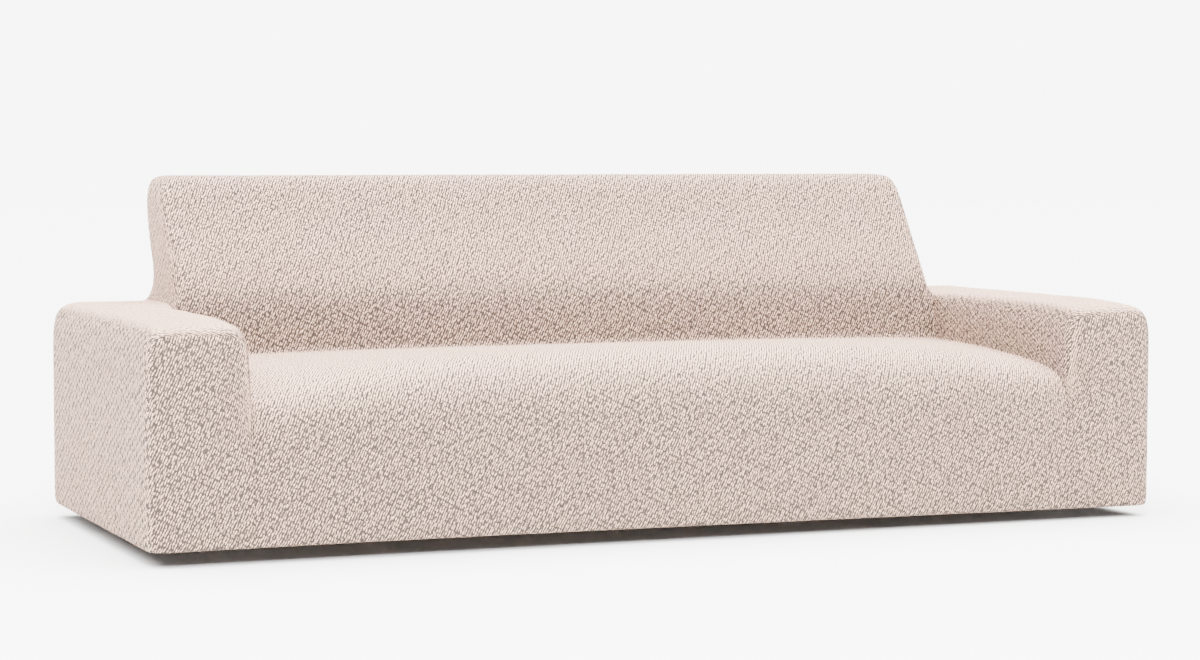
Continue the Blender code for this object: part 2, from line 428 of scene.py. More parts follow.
@dataclass
class Form:
    """The smooth outer face of the whole cover, read at every fine lattice point."""

    cage: Cage
    lattice: FineLattice
    levels: int = 4

    def __post_init__(self) -> None:
        """Rounds the cage and reads the places and outward directions off it."""
        self.patches = self.cage.patches()
        samples = self.read_samples(self.round_cage())
        points, places, quads = [], [], []
        for patch, sample in zip(self.patches, samples):
            grid, place = self.refine(patch, sample)
            keys = self.lattice.key(grid)
            patch.grid = grid
            points.append(keys.ravel())
            places.append(place.reshape(-1, 3))
            quads.append(grid_quads(keys))
        keys, first = np.unique(np.concatenate(points), return_index=True)
        self.keys = keys
        self.places = np.concatenate(places)[first]
        self.stand_on_frame()
        self.outward = self.read_outward(np.concatenate(quads))

    def round_cage(self) -> bpy.types.Mesh:
        """Rounds the cage by subdivision.

        Returns:
            The rounded mesh. Each corner of its faces tells its patch and its place in that.
        """
        corners = sorted({corner for patch in self.patches for corner in patch.corners})
        index = {corner: number for number, corner in enumerate(corners)}
        faces = [[index[corner] for corner in patch.corners] for patch in self.patches]
        mesh = bpy.data.meshes.new("cage")
        mesh.from_pydata([self.cage.place(corner) for corner in corners], [], faces)
        within = mesh.uv_layers.new(name="within", do_init=False)
        square = np.tile([(0.0, 0.0), (1.0, 0.0), (1.0, 1.0), (0.0, 1.0)], (len(faces), 1))
        within.uv.foreach_set("vector", square.astype(np.float32).ravel())
        number = mesh.attributes.new("patch", "INT", "FACE")
        number.data.foreach_set("value", np.arange(len(faces), dtype=np.int32))
        self.mark_creases(mesh, index)
        guide = put_in_scene("cage", mesh)
        rounding = guide.modifiers.new("Rounding", "SUBSURF")
        rounding.levels = rounding.render_levels = self.levels
        rounding.uv_smooth = "NONE"
        seen = guide.evaluated_get(bpy.context.evaluated_depsgraph_get())
        rounded = bpy.data.meshes.new_from_object(seen)
        bpy.data.objects.remove(guide)
        bpy.data.meshes.remove(mesh)
        return rounded

    def mark_creases(self, mesh: bpy.types.Mesh, index: dict[Lattice, int]) -> None:
        """Writes how sharp the tucks are, and the square rear corners of the hem.

        Args:
            mesh: The cage's mesh.
            index: The vertex at each corner of the cage.
        """
        sharp = {frozenset((index[a], index[b])): value for a, b, value in self.cage.creases()}
        crease = mesh.attributes.new("crease_edge", "FLOAT", "EDGE")
        for edge, item in zip(mesh.edges, crease.data):
            item.value = sharp.get(frozenset(edge.vertices), 0.0)
        square = mesh.attributes.new("crease_vert", "FLOAT", "POINT")
        for i in (0, len(self.cage.x) - 1):
            square.data[index[i, len(self.cage.y) - 1, -1]].value = 1.0

    def read_samples(self, rounded: bpy.types.Mesh) -> np.ndarray:
        """Reads the rounded cage, and removes it.

        Args:
            rounded: The mesh from round_cage.

        Returns:
            A square grid of places for each patch.
        """
        side = 2**self.levels
        places = read_each(rounded.vertices, "co", np.float32, 3)
        vertex = read_each(rounded.loops, "vertex_index", np.int32)
        within = read_each(rounded.uv_layers["within"].uv, "vector", np.float32, 2)
        number = read_each(rounded.attributes["patch"].data, "value", np.int32)
        cell = np.rint(within * side).astype(int)
        samples = np.empty((len(self.patches), side + 1, side + 1, 3))
        samples[np.repeat(number, 4), cell[:, 1], cell[:, 0]] = places[vertex]
        bpy.data.meshes.remove(rounded)
        return samples

    def refine(self, patch: Patch, sample: np.ndarray) -> tuple[np.ndarray, np.ndarray]:
        """Reads a patch of the form at each of its fine lattice points.

        Args:
            patch: The patch.
            sample: Its square grid of places.

        Returns:
            The lattice points and their places, as grids of the same size.
        """
        start, along, _, up = (self.lattice.fine(corner) for corner in patch.corners)
        across, rise = along - start, up - start
        columns, rows = int(np.abs(across).sum()), int(np.abs(rise).sum())
        row, column = np.mgrid[0 : rows + 1, 0 : columns + 1]
        grid = start + row[..., None] * np.sign(rise) + column[..., None] * np.sign(across)
        side = sample.shape[0] - 1
        place = np.einsum(
            "ra,abc,db->rdc", blend_weights(rows, side), sample, blend_weights(columns, side)
        )
        return grid, place

    def stand_on_frame(self) -> None:
        """Moves the form to where the CAD cover stands."""
        corners = np.array([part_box(part.value) for part in Part])
        low, high = corners[:, 0].min(0), corners[:, 1].max(0)
        own_low, own_high = self.places.min(0), self.places.max(0)
        middle = (low + high) / 2 - (own_low + own_high) / 2
        self.places += (middle[0], middle[1], high[2] - own_high[2])

    def read_outward(self, quads: np.ndarray) -> np.ndarray:
        """Works out which way the form faces.

        Args:
            quads: All its fine quads, as keys of lattice points.

        Returns:
            The outward direction at each fine point.
        """
        corner = self.places[self.find(quads)]
        facing = np.cross(corner[:, 2] - corner[:, 0], corner[:, 3] - corner[:, 1])
        total = np.zeros_like(self.places)
        for turn in range(4):
            np.add.at(total, self.find(quads[:, turn]), facing)
        return total / np.linalg.norm(total, axis=1, keepdims=True)

    def find(self, keys: np.ndarray) -> np.ndarray:
        """Where these lattice points stand in the form's list of places."""
        return np.searchsorted(self.keys, keys)


def grid_quads(grid: np.ndarray) -> np.ndarray:
    """Goes round each quad of a grid of points, in the grid's own turning.

    Args:
        grid: What each point holds, such as its number or its place on the cloth.

    Returns:
        What each quad's four corners hold.
    """
    around = (grid[:-1, :-1], grid[:-1, 1:], grid[1:, 1:], grid[1:, :-1])
    return np.stack([corner.reshape(-1, *grid.shape[2:]) for corner in around], axis=1)


@dataclass(frozen=True)
class Unfold:
    """How one side of a panel is laid into its flat cut.

    row and column each hold the weights of the three lattice indices and then a start.
    """

    row: tuple[int, int, int, int]
    column: tuple[int, int, int, int]

    def lay(self, grid: np.ndarray) -> tuple[np.ndarray, np.ndarray]:
        """The row and column in the cut of each lattice point."""
        return tuple(grid @ np.array(rule[:3]) + rule[3] for rule in (self.row, self.column))


@dataclass
class Cut:
    """The flat cut of a panel: a grid whose rows run across the cloth and columns up it."""

    sides: dict[Side, Unfold]
    origin: tuple[int, int]
    main_columns: tuple[int, int] | None = None

    def measure(self, form: Form, patches: list[Patch]) -> None:
        """Measures how far each lattice point of the panel lies across and up its cloth.

        Args:
            form: The form that the panel covers.
            patches: The panel's patches.
        """
        laid = [self.sides[patch.side].lay(patch.grid) for patch in patches]
        self.low = np.array([min(item[axis].min() for item in laid) for axis in (0, 1)])
        high = np.array([max(item[axis].max() for item in laid) for axis in (0, 1)])
        places = np.full((*(high - self.low + 1), 3), np.nan)
        for patch, (row, column) in zip(patches, laid):
            spot = form.places[form.find(form.lattice.key(patch.grid))]
            places[row - self.low[0], column - self.low[1]] = spot
        origin = np.array(self.origin) - self.low
        up = self.lengths(places, 0, int(origin[0]))
        across = self.lengths(places, 1, int(origin[1]))
        if self.main_columns:
            left, right = (column - self.low[1] for column in self.main_columns)
            up[:, :left] = up[:, left : left + 1]
            up[:, right + 1 :] = up[:, right : right + 1]
        self.cloth = np.stack((across, up), axis=-1)

    @staticmethod
    def lengths(places: np.ndarray, axis: int, origin: int) -> np.ndarray:
        """Adds up the lengths along one axis of a grid of places.

        Args:
            places: The grid.
            axis: The axis.
            origin: The line to count from.

        Returns:
            The length from that line to each place, which is negative before it.
        """
        steps = np.linalg.norm(np.diff(places, axis=axis), axis=-1)
        total = np.nancumsum(steps, axis=axis)
        total = np.insert(total, 0, 0.0, axis=axis)
        return total - np.take(total, [origin], axis=axis)

    def read(self, side: Side, grid: np.ndarray) -> np.ndarray:
        """Where lattice points on a side of the panel lie on the flat cloth, in metres."""
        row, column = self.sides[side].lay(grid)
        return self.cloth[row - self.low[0], column - self.low[1]]

    def size(self) -> tuple[float, float]:
        """How far the panel's unrolled surface reaches across and up, in metres."""
        return tuple(np.nanmax(self.cloth, axis=(0, 1)) - np.nanmin(self.cloth, axis=(0, 1)))


class Pattern:
    """The cuts of all seven panels."""

    def __init__(self, cage: Cage, lattice: FineLattice) -> None:
        """Lays out each panel's cut on the lattice.

        Args:
            cage: The cage round the sofa.
            lattice: Its fine lattice.
        """
        left, right = lattice.start(0, cage.left), lattice.start(0, cage.right)
        far = lattice.start(0, len(cage.x) - 1)
        middle = lattice.start(0, len(cage.x) // 2)
        rear, hem = lattice.start(1, cage.back_j), lattice.start(2, 0)
        seat, arm = lattice.start(2, cage.seat_k), lattice.start(2, cage.arm_k)
        top = lattice.start(2, len(cage.z) - 1)
        upright = Unfold((0, 0, 1, 0), (1, 0, 0, 0))
        first_wall = Unfold((0, 0, 1, 0), (0, -1, 0, 0))
        second_wall = Unfold((0, 0, -1, 2 * arm + far - right), (0, -1, 0, 0))
        self.cuts = {
            Part.SEAT_APRON: Cut(
                {Side.FRONT: upright, Side.TOP: Unfold((0, 1, 0, seat), (1, 0, 0, 0))},
                (hem, middle),
            ),
            Part.INSIDE_BACK: Cut(
                {
                    Side.FRONT: upright,
                    Side.TOP: Unfold((0, 1, 0, top - rear), (1, 0, 0, 0)),
                    Side.LEFT: Unfold((0, 0, 1, 0), (0, -1, 0, left + rear)),
                    Side.RIGHT: Unfold((0, 0, 1, 0), (0, 1, 0, right - rear)),
                },
                (seat, middle),
                (left, right),
            ),
            Part.OUTSIDE_BACK: Cut(
                {Side.REAR: Unfold((0, 0, 1, 0), (-1, 0, 0, 0))}, (hem, -middle)
            ),
            Part.ARM_FRONT_LEFT: Cut({Side.FRONT: upright}, (hem, left // 2)),
            Part.ARM_FRONT_RIGHT: Cut({Side.FRONT: upright}, (hem, (right + far) // 2)),
        }
        for part, start in ((Part.ARM_LEFT, 0), (Part.ARM_RIGHT, right)):
            top_of_arm = Unfold((1, 0, 0, arm - start), (0, -1, 0, 0))
            sides = {Side.LEFT: first_wall, Side.TOP: top_of_arm, Side.RIGHT: second_wall}
            self.cuts[part] = Cut(sides, (arm, 0))


@dataclass
class Panel:
    """One panel of the cover: a closed sheet of cloth, fine on its face and plainer inside."""

    part: Part
    flat: Pair
    area: float
    # Sides whose facing cloth is pulled flat and painted lighter, as painted light, and by how
    # much.
    taut_and_lit: tuple[tuple[Side, float], ...] = ()
    facing_from: float = 0.5
    facing_full: float = 0.95
    # How far the pits on side-facing cloth are pulled open and painted darker, as painted shade.
    opened_and_shaded: float = 0.0
    thickness: float = 0.003
    seam_gap: float = 0.0004
    seam_ease: float = 0.014
    least_reach: float = 0.5

    def build(self, form: Form, cut: Cut) -> bpy.types.Object:
        """Makes the panel's mesh.

        Args:
            form: The rounded form of the whole cover.
            cut: This panel's flat cut.

        Returns:
            The new object, standing in its place on the frame.
        """
        patches = [patch for patch in form.patches if patch.part is self.part]
        cut.measure(form, patches)
        outer_keys, outer, outer_cloth = self.lay_quads(form, cut, patches, 1)
        inner_keys, inner, inner_cloth = self.lay_quads(form, cut, patches, 2)
        at = form.find(outer_keys)
        outward, edge = form.outward[at], open_edges(outer)
        places = self.draw_in(form.places[at], outer, edge)
        lower = np.searchsorted(outer_keys, inner_keys)
        inside = places[lower] - outward[lower] * self.thickness
        rim = self.rim(open_edges(inner), lower, edge, len(places))
        mesh = bpy.data.meshes.new(self.part.value)
        faces = [outer, inner[:, ::-1] + len(places), rim]
        self.fill_mesh(mesh, np.concatenate((places, inside)), faces)
        self.write_cloth(mesh, np.concatenate((outer_cloth, inner_cloth[:, ::-1])).reshape(-1, 2))
        self.write_ease(mesh, places, np.unique(edge))
        self.write_taut_and_lit(mesh, outward)
        return put_in_scene(f"{self.part.value}_cloth", mesh)

    @staticmethod
    def lay_quads(
        form: Form, cut: Cut, patches: list[Patch], step: int
    ) -> tuple[np.ndarray, np.ndarray, np.ndarray]:
        """Makes the panel's quads, each some steps of the fine lattice wide.

        Args:
            form: The rounded form of the whole cover.
            cut: This panel's flat cut.
            patches: The panel's patches.
            step: The lattice steps along one quad.

        Returns:
            The keys of the points used, the quads as numbers of those points, and the place of
            each quad's corners on the flat cloth.
        """
        grids = [(patch.side, patch.grid[::step, ::step]) for patch in patches]
        keys = np.concatenate([grid_quads(form.lattice.key(grid)) for _, grid in grids])
        cloth = np.concatenate([grid_quads(cut.read(side, grid)) for side, grid in grids])
        used, quads = np.unique(keys, return_inverse=True)
        return used, quads.reshape(-1, 4), cloth

    def draw_in(self, places: np.ndarray, quads: np.ndarray, edge: np.ndarray) -> np.ndarray:
        """Moves the face's open edges in by half a seam gap.

        Args:
            places: The face's points.
            quads: Its quads.
            edge: Its open edges.

        Returns:
            The points' new places.
        """
        owner = edge_owner(quads, edge)
        start, end = places[edge[:, 0]], places[edge[:, 1]]
        along = end - start
        along /= np.linalg.norm(along, axis=1, keepdims=True)
        across = places[quads[owner]].mean(axis=1) - start
        away = across - along * (across * along).sum(1, keepdims=True)
        away /= np.linalg.norm(away, axis=1, keepdims=True)
        total = np.zeros_like(places)
        first = np.zeros_like(places)
        for turn in range(2):
            np.add.at(total, edge[:, turn], away)
            first[edge[:, turn]] = away
        reach = np.maximum((first * total).sum(1), self.least_reach)
        return places + total * (self.seam_gap / 2 / reach)[:, None]

    @staticmethod
    def rim(edge: np.ndarray, lower: np.ndarray, fine: np.ndarray, start: int) -> np.ndarray:
        """Triangles between the face's fine edge and the inside's coarser one.

        Args:
            edge: The inside's open edges, as pairs of inside vertices in the face's turning.
            lower: The face vertex over each inside vertex.
            fine: The face's open edges.
            start: The number of the first inside vertex in the mesh.

        Returns:
            Triangles of mesh vertices.
        """
        following = {int(a): int(b) for a, b in fine}
        a, b = lower[edge[:, 0]], lower[edge[:, 1]]
        middle = np.array([following[int(number)] for number in a])
        inner_a, inner_b = edge[:, 0] + start, edge[:, 1] + start
        corners = ((middle, a, inner_a), (middle, inner_a, inner_b), (b, middle, inner_b))
        return np.concatenate([np.stack(corner, axis=1) for corner in corners])

    @staticmethod
    def fill_mesh(mesh: bpy.types.Mesh, places: np.ndarray, faces: list[np.ndarray]) -> None:
        """Fills an empty mesh.

        Args:
            mesh: The mesh.
            places: Its vertices.
            faces: Its faces, in groups whose faces have the same number of corners.
        """
        sizes = np.concatenate([np.full(len(group), group.shape[1]) for group in faces])
        corners = np.concatenate([group.ravel() for group in faces]).astype(np.int32)
        mesh.vertices.add(len(places))
        mesh.vertices.foreach_set("co", places.astype(np.float32).ravel())
        mesh.loops.add(len(corners))
        mesh.loops.foreach_set("vertex_index", corners)
        mesh.polygons.add(len(sizes))
        starts = np.concatenate(([0], np.cumsum(sizes)[:-1])).astype(np.int32)
        mesh.polygons.foreach_set("loop_start", starts)
        mesh.update(calc_edges=True)
        mesh.validate()
        mesh.shade_smooth()

    @staticmethod
    def write_cloth(mesh: bpy.types.Mesh, cloth: np.ndarray) -> None:
        """Writes where each corner lies on the flat cloth as the mesh's UV map.

        Args:
            mesh: The panel's mesh.
            cloth: The places, in metres, of the corners of all its quads. The rim's triangles,
                which follow them in the mesh, take theirs from the quads that they touch.
        """
        known = len(cloth)
        vertex = read_each(mesh.loops, "vertex_index", np.int32)
        by_vertex = np.zeros((len(mesh.vertices), 2), np.float32)
        by_vertex[vertex[:known]] = cloth
        flat = np.concatenate((cloth, by_vertex[vertex[known:]])).astype(np.float32)
        layer = mesh.uv_layers.new(name="cloth", do_init=False)
        layer.uv.foreach_set("vector", flat.ravel())

    def write_ease(self, mesh: bpy.types.Mesh, places: np.ndarray, edge: np.ndarray) -> None:
        """Writes how far the relief may rise at each vertex: nothing at a seam.

        Args:
            mesh: The panel's mesh.
            places: The face's points.
            edge: The numbers of those on its edge.
        """
        tree = KDTree(len(edge))
        for number, vertex in enumerate(edge):
            tree.insert(places[vertex], number)
        tree.balance()
        reach = np.array([tree.find(place)[2] for place in places]) / self.seam_ease
        self.write_values(mesh, "ease", np.clip(reach, 0.0, 1.0))

    def write_taut_and_lit(self, mesh: bpy.types.Mesh, outward: np.ndarray) -> None:
        """Writes how far the cloth is pulled flat and painted lighter, as painted light, and how
        far its pits are pulled open and painted darker, as painted shade, by the way it faces.

        Args:
            mesh: The panel's mesh.
            outward: The outward direction at each of the face's points.
        """
        taut_and_lit = opened_and_shaded = np.zeros(len(outward))
        span = self.facing_full - self.facing_from
        for side, amount in self.taut_and_lit:
            facing = (outward @ np.array(side.value) - self.facing_from) / span
            pull = np.clip(facing, 0.0, 1.0)
            taut_and_lit = np.maximum(taut_and_lit, pull * amount)
            if side is not Side.TOP:
                opened_and_shaded = np.maximum(opened_and_shaded, pull * self.opened_and_shaded)
        self.write_values(mesh, "taut_and_lit", taut_and_lit)
        self.write_values(mesh, "opened_and_shaded", opened_and_shaded)

    @staticmethod
    def write_values(mesh: bpy.types.Mesh, name: str, face: np.ndarray) -> None:
        """Writes a number at each vertex.

        Args:
            mesh: The panel's mesh.
            name: What the number is called there.
            face: The numbers of the face's vertices, which come first. Those inside get 0.
        """
        values = np.zeros(len(mesh.vertices), np.float32)
        values[: len(face)] = face
        mesh.attributes.new(name, "FLOAT", "POINT").data.foreach_set("value", values)

    def join_frame(self, piece: bpy.types.Object) -> None:
        """Hangs the panel on the root body in place of its CAD node, which it hides.

        Args:
            piece: The finished panel.
        """
        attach(piece, "root")
        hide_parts(self.part.value)


def quad_edges(quads: np.ndarray) -> np.ndarray:
    """The directed edges of these quads: the first of each, then the second of each, and so on."""
    return np.concatenate([quads[:, (turn, (turn + 1) % 4)] for turn in range(4)])


def edge_numbers(edges: np.ndarray, size: int) -> np.ndarray:
    """One whole number for each directed edge, where there are this many points."""
    return edges[:, 0].astype(np.int64) * size + edges[:, 1]


def open_edges(quads: np.ndarray) -> np.ndarray:
    """Finds the edges of a surface.

    Args:
        quads: The surface's quads.

    Returns:
        The directed edges that no other quad shares.
    """
    edges = quad_edges(quads)
    size = int(edges.max()) + 1
    shared = np.isin(edge_numbers(edges, size), edge_numbers(edges[:, ::-1], size))
    return edges[~shared]


def edge_owner(quads: np.ndarray, edges: np.ndarray) -> np.ndarray:
    """Finds the quads that directed edges belong to.

    Args:
        quads: The surface's quads.
        edges: The directed edges.

    Returns:
        The number of each edge's quad.
    """
    size = int(quads.max()) + 1
    every = edge_numbers(quad_edges(quads), size)
    order = np.argsort(every)
    return order[np.searchsorted(every, edge_numbers(edges, size), sorter=order)] % len(quads)


class Nodes:
    """Adds nodes to one tree, each with its settings first and then its inputs."""

    def __init__(self, tree: bpy.types.NodeTree) -> None:
        """Starts adding to a tree."""
        self.tree = tree

    def add(self, kind: str, settings: Settings, inputs: Inputs) -> bpy.types.Node:
        """Adds a node.

        Args:
            kind: The node's type.
            settings: Values of the node's own properties, set before its sockets.
            inputs: What each input socket, by name or number, is linked to or set to.

        Returns:
            The new node.
        """
        node = self.tree.nodes.new(kind)
        for name, value in settings.items():
            setattr(node, name, value)
        for name, value in inputs.items():
            self.feed(node.inputs[name], value)
        return node

    def feed(self, socket: bpy.types.NodeSocket, value: object) -> None:
        """Links or sets one input socket.

        Args:
            socket: The input.
            value: A number of the tree, another output, or a plain value.
        """
        if isinstance(value, Value):
            value = value.socket
        if isinstance(value, bpy.types.NodeSocket):
            self.tree.links.new(value, socket)
        else:
            socket.default_value = value

    def value(self, kind: str, settings: Settings, inputs: Inputs) -> "Value":
        """Adds a node and takes its first output as a number to reckon with."""
        return Value(self, self.add(kind, settings, inputs).outputs[0])

    def split(self, vector: object) -> list["Value"]:
        """The three numbers of a vector."""
        node = self.add("ShaderNodeSeparateXYZ", {}, {0: vector})
        return [Value(self, socket) for socket in node.outputs]

    def attribute(self, name: str, kind: str) -> bpy.types.NodeSocket:
        """A named attribute of the mesh, in a tree that makes geometry."""
        node = self.add("GeometryNodeInputNamedAttribute", {"data_type": kind}, {"Name": name})
        return node.outputs["Attribute"]

    def surface_value(self, name: str) -> "Value":
        """A named attribute of the mesh, in a material."""
        node = self.add("ShaderNodeAttribute", {"attribute_name": name}, {})
        return Value(self, node.outputs["Fac"])

    def mix(self, factor: object, low: object, high: object) -> bpy.types.NodeSocket:
        """A colour between two others."""
        inputs = {"Factor": factor, 6: low, 7: high}
        return self.add("ShaderNodeMix", {"data_type": "RGBA"}, inputs).outputs[2]


class Value:
    """A number that flows through a node tree. Arithmetic on it adds Math nodes."""

    def __init__(self, nodes: Nodes, socket: bpy.types.NodeSocket) -> None:
        """Wraps an output socket."""
        self.nodes = nodes
        self.socket = socket

    def math(self, operation: str, *numbers: object) -> "Value":
        """The result of one Math node on these numbers."""
        inputs = dict(enumerate(numbers))
        return self.nodes.value("ShaderNodeMath", {"operation": operation}, inputs)

    def __add__(self, other: object) -> "Value":
        """This plus the other."""
        return self.math("ADD", self, other)

    __radd__ = __add__

    def __sub__(self, other: object) -> "Value":
        """This less the other."""
        return self.math("SUBTRACT", self, other)

    def __rsub__(self, other: object) -> "Value":
        """The other less this."""
        return self.math("SUBTRACT", other, self)

    def __mul__(self, other: object) -> "Value":
        """This times the other."""
        return self.math("MULTIPLY", self, other)

    __rmul__ = __mul__

    def root(self) -> "Value":
        """The square root of this."""
        return self.math("SQRT", self)

    def wave(self) -> "Value":
        """A wave that is 1 at every whole number and -1 halfway between."""
        return self.math("COSINE", self * math.tau)

    def at_least(self, least: float) -> "Value":
        """This, or the least where this is less."""
        return self.math("MAXIMUM", self, least)

    def ramp(self, start: float, end: float) -> "Value":
        """Turns this into a smooth step.

        Args:
            start: Where the step begins, with 0 beyond it.
            end: Where it ends, with 1 beyond it. It may be less than start.

        Returns:
            A number from 0 to 1.
        """
        settings = {"interpolation_type": "SMOOTHSTEP"}
        flip = start > end
        low, high = (end, start) if flip else (start, end)
        inputs = {"Value": self, "From Min": low, "From Max": high}
        if flip:
            inputs.update({"To Min": 1.0, "To Max": 0.0})
        return self.nodes.value("ShaderNodeMapRange", settings, inputs)


@dataclass(frozen=True)
class Cloudiness:
    """A soft random pattern: how fine, how detailed and how rough it is, and where it is read."""

    scale: float
    detail: float
    roughness: float = 0.5
    dimensions: str = "3D"

    def at(self, nodes: Nodes, place: object) -> bpy.types.Node:
        """Adds the noise node that reads the pattern.

        Args:
            nodes: The tree to add to.
            place: Where to read it.

        Returns:
            The node.
        """
        settings = {"noise_dimensions": self.dimensions}
        inputs = {"Scale": self.scale, "Detail": self.detail, "Roughness": self.roughness}
        return nodes.add("ShaderNodeTexNoise", settings, {"Vector": place, **inputs})

    def value(self, nodes: Nodes, place: object) -> Value:
        """The pattern at a place, as one number that is mostly near a half."""
        return Value(nodes, self.at(nodes, place).outputs[0])

    def drift(self, nodes: Nodes, place: object, amount: object) -> tuple[Value, Value]:
        """Moves a place about by the pattern.

        Args:
            nodes: The tree to add to.
            place: The place, as a vector.
            amount: Twice the furthest that it may move.

        Returns:
            The first two numbers of the moved place.
        """
        off = nodes.split(self.at(nodes, place).outputs["Color"])
        at = nodes.split(place)
        return tuple(at[axis] + (off[axis] - 0.5) * amount for axis in (0, 1))


def along_and_aside(across: Value, up: Value, first: Pair, second: Pair) -> tuple[Value, Value]:
    """Goes to a place on the cloth in two kinds of slanted step.

    Args:
        across: How far across the cloth the place is.
        up: How far up it is.
        first: One step of the first kind, across and up.
        second: One of the second kind.

    Returns:
        How many steps of each kind lead there.
    """
    (ax, ay), (bx, by) = first, second
    area = ax * by - ay * bx
    along = across * (by / area) + up * (-bx / area)
    aside = across * (-ay / area) + up * (ax / area)
    return along, aside


@dataclass(frozen=True)
class Pucker:
    """The knit's raised relief: a staggered lattice of pits in soft ridges, and its broad swell."""

    rising: Pair = (0.0156, 0.0096)
    falling: Pair = (0.0180, -0.0096)
    height: float = 0.0016
    swell: float = 0.0016
    wander: float = 0.007
    level: float = 0.7
    taut_ease: float = 0.6
    depth_gain: float = 1.3
    depth_less: float = 0.1
    broad: Cloudiness = Cloudiness(7.0, 2.0)
    astray: Cloudiness = Cloudiness(26.0, 2.0)
    uneven: Cloudiness = Cloudiness(45.0, 1.0)

    def make_tree(self) -> bpy.types.NodeTree:
        """The node tree that raises the relief on a panel.

        Returns:
            A tree with named inputs for the panel, the sizes of its relief and its finish.
        """
        tree = bpy.data.node_groups.new("pucker", "GeometryNodeTree")
        tree.interface.new_socket("Cloth", in_out="INPUT", socket_type="NodeSocketGeometry")
        sizes = ("Height", "Swell", "Wander")
        for name in sizes:
            tree.interface.new_socket(name, in_out="INPUT", socket_type="NodeSocketFloat")
        tree.interface.new_socket("Finish", in_out="INPUT", socket_type="NodeSocketMaterial")
        tree.interface.new_socket("Cloth", in_out="OUTPUT", socket_type="NodeSocketGeometry")
        nodes = Nodes(tree)
        given = nodes.add("NodeGroupInput", {}, {}).outputs
        height, swell, wander = (Value(nodes, given[name]) for name in sizes)
        flat = nodes.attribute("cloth", "FLOAT_VECTOR")
        ease, taut_and_lit = (Value(nodes, nodes.attribute(name, "FLOAT")) for name in ("ease", "taut_and_lit"))
        pucker = self.pits(nodes, flat, wander)
        rise = (pucker - self.level) * height * (1.0 - taut_and_lit * self.taut_ease)
        rise = (rise + (self.broad.value(nodes, flat) - 0.5) * swell * 2.0) * ease
        normal = nodes.add("GeometryNodeInputNormal", {}, {}).outputs[0]
        inputs = {0: normal, "Scale": rise}
        offset = nodes.add("ShaderNodeVectorMath", {"operation": "SCALE"}, inputs)
        inputs = {"Geometry": given["Cloth"], "Offset": offset.outputs[0]}
        moved = nodes.add("GeometryNodeSetPosition", {}, inputs)
        settings = {"data_type": "FLOAT", "domain": "POINT"}
        inputs = {"Geometry": moved.outputs[0], "Name": "pucker", "Value": pucker}
        kept = nodes.add("GeometryNodeStoreNamedAttribute", settings, inputs)
        whole = nodes.add("GeometryNodeRealizeInstances", {}, {"Geometry": kept.outputs[0]})
        inputs = {"Geometry": whole.outputs[0], "Material": given["Finish"]}
        dressed = nodes.add("GeometryNodeSetMaterial", {}, inputs)
        nodes.add("NodeGroupOutput", {}, {"Cloth": dressed.outputs[0]})
        return tree

    def pits(self, nodes: Nodes, flat: bpy.types.NodeSocket, wander: Value) -> Value:
        """The relief at a point of the cloth, from 0 in a pit to 1 on the ridges round it.

        Args:
            nodes: The tree to add to.
            flat: Where the point lies on the flat cloth.
            wander: How far the pits stray from their lattice.

        Returns:
            The relief.
        """
        across, up = self.astray.drift(nodes, flat, wander)
        along, aside = along_and_aside(across, up, self.rising, self.falling)
        waves = along.wave() + aside.wave() + (along + aside).wave()
        depth = self.uneven.value(nodes, flat) * self.depth_gain - self.depth_less
        reach = THREE_WAVES_MOST - THREE_WAVES_LEAST
        return 1.0 - (waves - THREE_WAVES_LEAST) * depth * (1 / reach)

    def raise_on(
        self, piece: bpy.types.Object, tree: bpy.types.NodeTree, finish: bpy.types.Material
    ) -> None:
        """Raises the relief on a panel and makes it part of its mesh.

        Args:
            piece: The panel.
            tree: The tree from make_tree.
            finish: The material that the panel gets.
        """
        relief = piece.modifiers.new("Pucker", "NODES")
        relief.node_group = tree
        wanted = {"Height": self.height, "Swell": self.swell, "Wander": self.wander}
        wanted["Finish"] = finish
        for item in tree.interface.items_tree:
            if item.in_out == "INPUT" and item.name in wanted:
                relief[item.identifier] = wanted[item.name]
        seen = piece.evaluated_get(bpy.context.evaluated_depsgraph_get())
        raised = bpy.data.meshes.new_from_object(seen)
        piece.modifiers.remove(relief)
        plain = piece.data
        piece.data = raised
        bpy.data.meshes.remove(plain)
        raised.name = piece.name


def new_material(name: str, roughness: float) -> tuple[bpy.types.Material, bpy.types.Node]:
    """Makes a material of even roughness.

    Args:
        name: The material's name.
        roughness: Its roughness.

    Returns:
        The material and the shader of its surface.
    """
    material = bpy.data.materials.new(name)
    material.use_nodes = True
    shader = material.node_tree.nodes["Principled BSDF"]
    shader.inputs["Roughness"].default_value = roughness
    return material, shader


